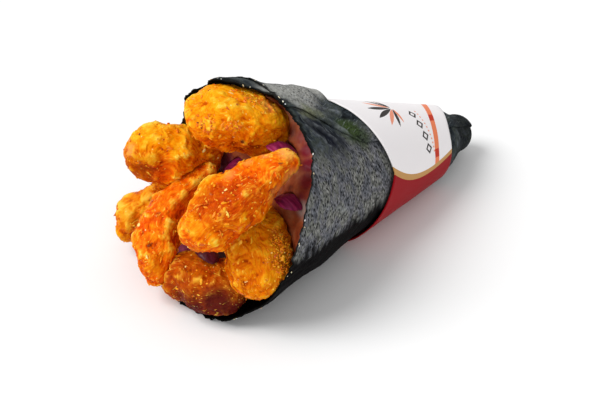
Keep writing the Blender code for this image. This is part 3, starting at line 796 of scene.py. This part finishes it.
def friedCrust():
    mat, add = newMaterial("deep-fried crumb crust")  # oily golden crumbs, with painted shade in the folds and hollows and painted highlights on the edges and upward faces
    look = crust["surface"]
    place = add("ShaderNodeTexCoord").outputs["Object"]
    strand = add("ShaderNodeAttribute", attribute_name="strand").outputs["Vector"]
    masks = {name: add("ShaderNodeAttribute", attribute_name=name).outputs["Fac"]
             for name in ("relief", "upward", "edge", "fold", "roast", "red")}
    noises = {}
    for where, kinds in ((place, look["grains"]), (strand, look["strands"])):
        for name, (scale, detail, roughness, distortion) in kinds.items():
            noises[name] = add("ShaderNodeTexNoise", {"Vector": where, "Scale": scale, "Detail": detail,
                                                      "Roughness": roughness, "Distortion": distortion})
    level = 0.5
    for name, share in look["paler"].items():
        swing = masks[name] if name in masks else add("SUBTRACT", noises[name], 0.5)
        level = add("MULTIPLY_ADD", swing, share, level)
    redness = look["redStart"]
    for name, share in look["redder"].items():
        redness = add("MULTIPLY_ADD", {**noises, **masks}[name], share, redness, use_clamp=name == "red")
    golden, reddish = (add("ShaderNodeValToRGB", level, stops=look[name]) for name in ("golden", "reddish"))
    colour = add("ShaderNodeMix", {0: redness, 6: golden, 7: reddish}, data_type="RGBA")
    colour = stained(add, colour, look["stains"])
    # Pale flecks, a painted highlight on the upward edges, and on a few grains only painted oil glints and
    # pale crystals, glossy under a coat
    flecks = add("ShaderNodeMapRange", noises["flecks"], *look["flecks"])
    ridges = add("MULTIPLY", masks["edge"], add("MAXIMUM", masks["upward"], 0.0))
    ridges = add("MULTIPLY", ridges, look["ridgeShare"])
    glint = add("ShaderNodeMapRange", noises["specks"], *look["glints"])
    furred = add("MULTIPLY", noises["fine"], look["fineFur"])
    furred = add("MULTIPLY_ADD", noises["hairs"], look["hairFur"], furred)
    return endMaterial(mat, {
        "Base Color": painted(add, colour, ((flecks, look["fleck"]), (ridges, look["ridge"]),
                                            (glint, look["glint"]))),
        "Normal": add("ShaderNodeBump", {**look["bump"], "Height": furred}),
        "Coat Weight": glint,
        **look["shader"],
    })


def makeShrimps():
    mat = friedCrust()
    nodes = sorted(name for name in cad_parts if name.startswith("shrimp_"))
    return [dress(node, "_crust", crust, number, mat) for number, node in enumerate(nodes)]


shrimps = makeShrimps()

# Crumbs and flakes that stand off the crust: densities for each square millimetre

crumbs = {
    "crust_crumbs": {"Density": 0.05, "Grit": 2.8, "Flaky": 0.3, "Clump Size": 5.0, "Long": 0.42,
                     "Short": 0.30, "Thin": 0.20, "Rough": 0.35, "Sides": 1, "Seed": 3},
    "crust_flakes": {"Density": 0.03, "Grit": 0.1, "Flaky": 0.5, "Clump Size": 7.0, "Long": 1.15,
                     "Short": 0.42, "Thin": 0.22, "Rough": 0.8, "Sides": 2, "Seed": 8},
    "rim_crumbs": {"Density": 0.14, "Grit": 0.0, "Flaky": 0.0, "Clump Size": 9.0, "Long": 0.40,
                   "Short": 0.28, "Thin": 0.22, "Rough": 0.3, "Sides": 1, "Seed": 5},
    "clumped": (0.42, 0.66, 0.15, 3.0), "dentSize": 0.8,
    "spin": {0: (-0.5, -0.5, -3.14), 1: (0.5, 0.5, 3.14), "Seed": 11},  # radians
    "stretch": {0: (0.4, 0.5, 0.6), 1: (1.2, 1.3, 1.3), "Seed": 12},
    "crisp": ((0.0, "#8a3a04"), (0.12, "#d86004"), (0.50, "#f48406"), (0.80, "#ffa410"), (0.97, "#ffc230"),
              (1.0, "#ffe590")),
    "pale": ((0.0, "#c8a878"), (0.4, "#efe0c0"), (1.0, "#ffffff")),
    "shader": {"Roughness": 0.30, "Specular IOR Level": 0.15, "Coat Weight": 0.25, "Coat Roughness": 0.12,
               "Subsurface Weight": 0.2, "Subsurface Radius": (1.0, 0.5, 0.15),
               "Subsurface Scale": 0.8 * mm},
}


def crumbTree():
    tree, add, given = newTree("crumbs", {
        "Density": 1.0, "Grit": 1.0, "Flaky": 1.0, "Clump Size": 5.0 * mm, "Long": 1.0 * mm,
        "Short": 0.5 * mm, "Thin": 0.2 * mm, "Rough": 0.4 * mm, "Sides": 1, "Seed": 0,
    })
    loose, grit, flaky, wet = (add("GeometryNodeInputNamedAttribute", {"Name": name})
                               for name in ("loose", "grit", "flaky", "wet"))
    place = add("GeometryNodeInputPosition")
    clump = add("ShaderNodeTexNoise", {"Vector": place, "Scale": add("DIVIDE", 1.0, given["Clump Size"]),
                                       "Detail": 1.0})
    thick = add("ShaderNodeMapRange", clump, *crumbs["clumped"], interpolation_type="SMOOTHSTEP")
    density = add("MULTIPLY_ADD", thick, given["Density"], add("MULTIPLY", grit, given["Grit"]))
    density = add("MULTIPLY_ADD", flaky, given["Flaky"], density)
    density = add("MULTIPLY", density, add("SUBTRACT", 1.0, wet))
    spread = add("GeometryNodeDistributePointsOnFaces", {
        "Mesh": given["Geometry"], "Density": add("MULTIPLY", loose, density), "Seed": given["Seed"]})
    shade = add("FunctionNodeRandomValue", {2: 0.0, 3: 1.0, "Seed": given["Seed"]}, data_type="FLOAT")
    marked = add("GeometryNodeStoreNamedAttribute", {"Geometry": spread, "Name": "shade", "Value": shade})
    spin = add("FunctionNodeRandomValue", crumbs["spin"], data_type="FLOAT_VECTOR")
    turned = add("FunctionNodeRotateRotation", spread.outputs["Rotation"], spin, rotation_space="LOCAL")
    stretch = add("FunctionNodeRandomValue", crumbs["stretch"], data_type="FLOAT_VECTOR")
    size = add("ShaderNodeCombineXYZ", given["Long"], given["Short"], given["Thin"])
    placed = add("GeometryNodeInstanceOnPoints", {
        "Points": marked, "Rotation": turned,
        "Instance": add("GeometryNodeMeshIcoSphere", {"Radius": 1.0, "Subdivisions": given["Sides"]}),
        "Scale": add("ShaderNodeVectorMath", stretch, size, operation="MULTIPLY")})
    scale = 1 / (crumbs["dentSize"] * mm)
    rough = add("ShaderNodeTexNoise", {"Vector": place, "Scale": scale, "Detail": 1.0})
    centred = add("ShaderNodeVectorMath", rough.outputs[1], (0.5, 0.5, 0.5), operation="SUBTRACT")
    shove = add("ShaderNodeVectorMath", {0: centred, "Scale": given["Rough"]}, operation="SCALE")
    moved = add("GeometryNodeSetPosition", {"Geometry": add("GeometryNodeRealizeInstances", placed),
                                            "Offset": shove})
    endTree(add, moved, given)
    return tree


def friedCrumb(name, stops):
    mat, add = newMaterial(name)
    shade = add("ShaderNodeAttribute", attribute_name="shade").outputs["Fac"]
    colour = add("ShaderNodeValToRGB", shade, stops=stops)
    return endMaterial(mat, {"Base Color": colour, **crumbs["shader"]})


def rimStrip():
    where = noriPlaces()[0][:, -3:]  # the last millimetre or so below the torn rim
    obj = newSheet("rim_crumbs", where)[0]
    addAttribute(obj, "loose", np.ones(len(obj.data.vertices)))
    return obj


def shrimpSkins(name):
    shape = bmesh.new()
    for obj in shrimps:
        shape.from_mesh(obj.data)
    mesh = bpy.data.meshes.new(name)
    shape.to_mesh(mesh)
    shape.free()
    return newObject(name, mesh)


def makeCrumbs():
    tree = crumbTree()
    crisp = friedCrumb("loose fried crumb", crumbs["crisp"])  # crisp bread flake, translucent with oil
    pale = friedCrumb("pale crumb on the rim", crumbs["pale"])  # the same crumb, dry and nearly white
    for name in ("crust_crumbs", "crust_flakes", "rim_crumbs"):
        look, onRim = crumbs[name], name == "rim_crumbs"
        obj = rimStrip() if onRim else shrimpSkins(name)
        lengths = {label: look[label] * mm for label in ("Clump Size", "Long", "Short", "Thin", "Rough")}
        spread = {label: look[label] / mm ** 2 for label in ("Density", "Grit", "Flaky")}
        growWith(obj, tree, {**look, **lengths, **spread, "Material": pale if onRim else crisp})
        settle(obj)
        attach(obj, "root")
        print(name, len(obj.data.polygons), "faces")


makeCrumbs()

# Red onion and filling

onions = {
    "voxel": 0.4, "rounds": 6, "strand": (6.0, 2.5, 2.5), "swirl": (9.0, 2.0),
    "Lump Size": 6.0, "Lump Height": 0.25, "Strand Height": 0.08,
    "Grain Size": 1.0, "Grain Height": 0.02,
    # sauced: painted shade in the cavity between the shrimps
    "zones": {"sauced": ((-52.6, -5.4, 19.9, 16, 0.9),)},
    "surface": {
        "veinSize": (0.9, 7, 7), "veinTurn": (0.4, 0.6, 0.9),  # the second in radians
        "layers": ((0.30, "#6c1440"), (0.50, "#921e52"), (0.72, "#b0406e")),
        "stains": (("sauced", "#3c1210", 1.0),),
        "shader": {"Roughness": 0.35, "Specular IOR Level": 0.2, "Subsurface Weight": 0.25,
                   "Subsurface Radius": (1.0, 0.3, 0.5), "Subsurface Scale": 1.5 * mm},
    },
}
filling = {
    "voxel": 0.6, "rounds": 10, "strand": (6.0, 3.0, 3.0), "swirl": (9.0, 3.0),
    "Lump Size": 7.0, "Lump Height": 0.55, "Strand Height": 0.12,
    "Grain Size": 1.0, "Grain Height": 0.02,
    "zones": {
        # crimson: red stain, and painted shade of the rim on the filling beside it
        "crimson": ((-17, -11, 50, 4, 0.7), (-19, -15, 48, 4, 1), (-21, -18, 45, 4.5, 1),
                    (-24, -21, 42, 4.5, 0.9), (-27, -24, 39, 4, 0.6), (-30, 4, 45, 7, 0.5)),
        # sauced: painted shade in the cavity between the shrimps
        "sauced": ((-48, -10, 22, 14, 0.9), (-43, -1, 10, 14, 1)),
        "purple": ((-28, 15, 29, 8, 0.8), (-50, 13, 8, 10, 0.7), (-33, -21, 38, 7, 0.7),
                   (-34, 2, 48, 8, 0.6)),
        "cream": ((-30, -25, 36, 4, 0.8),),
    },
    "surface": {
        "patchSize": 5,
        "sauces": ((0.28, "#6e2a18"), (0.50, "#a8542e"), (0.72, "#c07850")),
        "stains": (("sauced", "#2c0c08", 1.0), ("crimson", "#7a1424", 1.0), ("purple", "#64204a", 1.0),
                   ("cream", "#b8a8a0", 1.0)),
        "shader": {"Roughness": 0.45, "Specular IOR Level": 0.15, "Subsurface Weight": 0.1,
                   "Subsurface Scale": 1.5 * mm},
    },
}


def redOnion():
    mat, add = newMaterial("raw red onion")  # wet translucent layers with purple skin, with painted shade in the cavity
    look = onions["surface"]
    turned = add("ShaderNodeMapping", {"Vector": add("ShaderNodeTexCoord").outputs["Object"],
                                       "Rotation": look["veinTurn"],
                                       "Scale": tuple(1 / (size * mm) for size in look["veinSize"])})
    veins = add("ShaderNodeTexNoise", {"Vector": turned, "Scale": 1.0, "Detail": 2.0})
    layers = add("ShaderNodeValToRGB", veins, stops=look["layers"])
    return endMaterial(mat, {"Base Color": stained(add, layers, look["stains"]), **look["shader"]})


def saucedFilling():
    mat, add = newMaterial("filling in brown sauce")  # cooked and glossy, stained by the onion, with painted shade in the cavity and, beside the rim, crimson that is partly painted shade of the rim
    look = filling["surface"]
    place = add("ShaderNodeTexCoord").outputs["Object"]
    scale = 1 / (look["patchSize"] * mm)
    patches = add("ShaderNodeTexNoise", {"Vector": place, "Scale": scale, "Detail": 3.0})
    sauces = add("ShaderNodeValToRGB", patches, stops=look["sauces"])
    return endMaterial(mat, {"Base Color": stained(add, sauces, look["stains"]), **look["shader"]})


def makeOnionsAndFilling():
    purple = redOnion()
    for number, node in enumerate(sorted(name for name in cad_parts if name.startswith("onion_"))):
        dress(node, "_layer", onions, number, purple)
    dress("filling", "_sauced", filling, 5, saucedFilling())


makeOnionsAndFilling()

# Floor, light and camera

studio = {
    "floorSize": 6.0, "floor": "#f6f6f6", "floorRoughness": 0.9, "skyStrength": 0.60,  # size in metres
    "sun": {"energy": 2.2, "angle": math.radians(40.0)}, "sunFrom": (-0.55, 0.33, 0.77),
    "fill": {"energy": 0.35, "size": 0.4}, "fillFrom": (-0.35, -0.45, 0.35),
}


def makeStudio():
    bpy.ops.mesh.primitive_plane_add(size=studio["floorSize"])
    floor = bpy.context.object
    floor.name = "floor"
    mat = newMaterial("white studio floor")[0]  # matt paper sweep
    endMaterial(mat, {"Base Color": linear(studio["floor"]), "Roughness": studio["floorRoughness"]})
    floor.data.materials.append(mat)

    world = bpy.data.worlds.new("studio")
    bpy.context.scene.world = world
    world.use_nodes = True
    feed(world.node_tree, world.node_tree.nodes["Background"], {0: (1, 1, 1, 1), 1: studio["skyStrength"]})

    for name, kind in (("sun", "SUN"), ("fill", "AREA")):
        data = bpy.data.lights.new(name, kind)
        for label, value in studio[name].items():
            setattr(data, label, value)
        lamp = newObject(name, data)
        lamp.location = studio[name + "From"]
        lamp.rotation_euler = (-Vector(studio[name + "From"])).to_track_quat("-Z", "Y").to_euler()


view = {
    "azimuth": -41.5, "elevation": 38.0, "distance": 564.0,
    "target": (-19.32, -13.18, 23.5), "lens": 103.7, "sensor": 36.0,
}


def makeCamera():
    data = bpy.data.cameras.new("camera")
    data.lens = view["lens"]
    data.sensor_width = view["sensor"]
    data.sensor_fit = "HORIZONTAL"
    data.clip_start = 0.01
    camera = newObject("camera", data)
    turn, rise = math.radians(view["azimuth"]), math.radians(view["elevation"])
    back = Vector((math.sin(turn) * math.cos(rise), -math.cos(turn) * math.cos(rise), math.sin(rise)))
    camera.location = (Vector(view["target"]) + back * view["distance"]) * mm
    camera.rotation_euler = (-back).to_track_quat("-Z", "Y").to_euler()
    bpy.context.scene.camera = camera


makeStudio()
makeCamera()
bpy.context.scene.view_settings.view_transform = "Standard"
print("studio ready")
